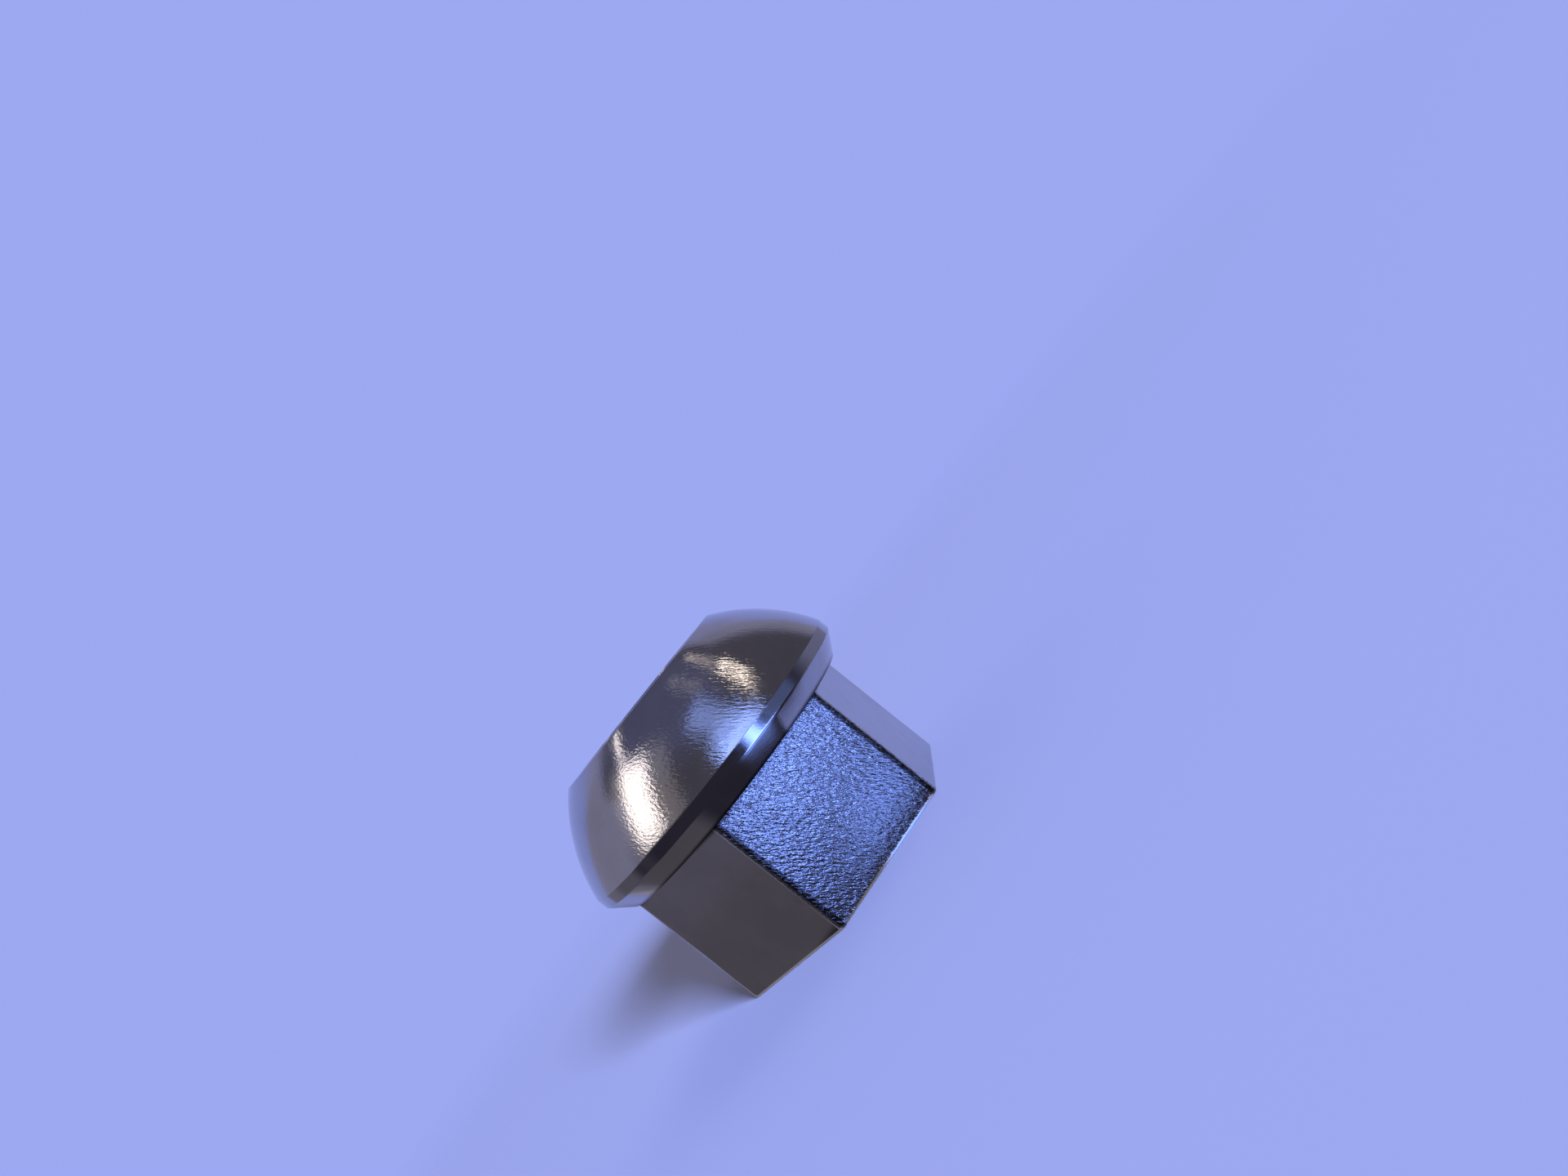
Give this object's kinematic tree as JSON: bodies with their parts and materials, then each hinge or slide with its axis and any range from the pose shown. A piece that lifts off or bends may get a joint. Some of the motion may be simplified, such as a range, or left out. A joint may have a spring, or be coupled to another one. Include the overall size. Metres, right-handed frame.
{
  "type": "wheel nut",
  "caption": "Hexagon wheel nut with a round collar and a spherical seat, threaded right through, that clamps a wheel onto its stud and centres it.",
  "frame": {"origin": "centre of the flat driven end of the hexagon, which the nut stands on", "axes": "+Z along the thread, from the driven end to the ball seat; two flats of the hexagon face +Y and -Y"},
  "size_m": [0.0246, 0.0246, 0.0188],
  "materials": {
    "steel": "bright plated steel: fine turning lines on the seat and collar, rippled forged hexagon flats"
  },
  "bodies": {
    "root": {"nut": "steel"}
  },
  "joints": []
}
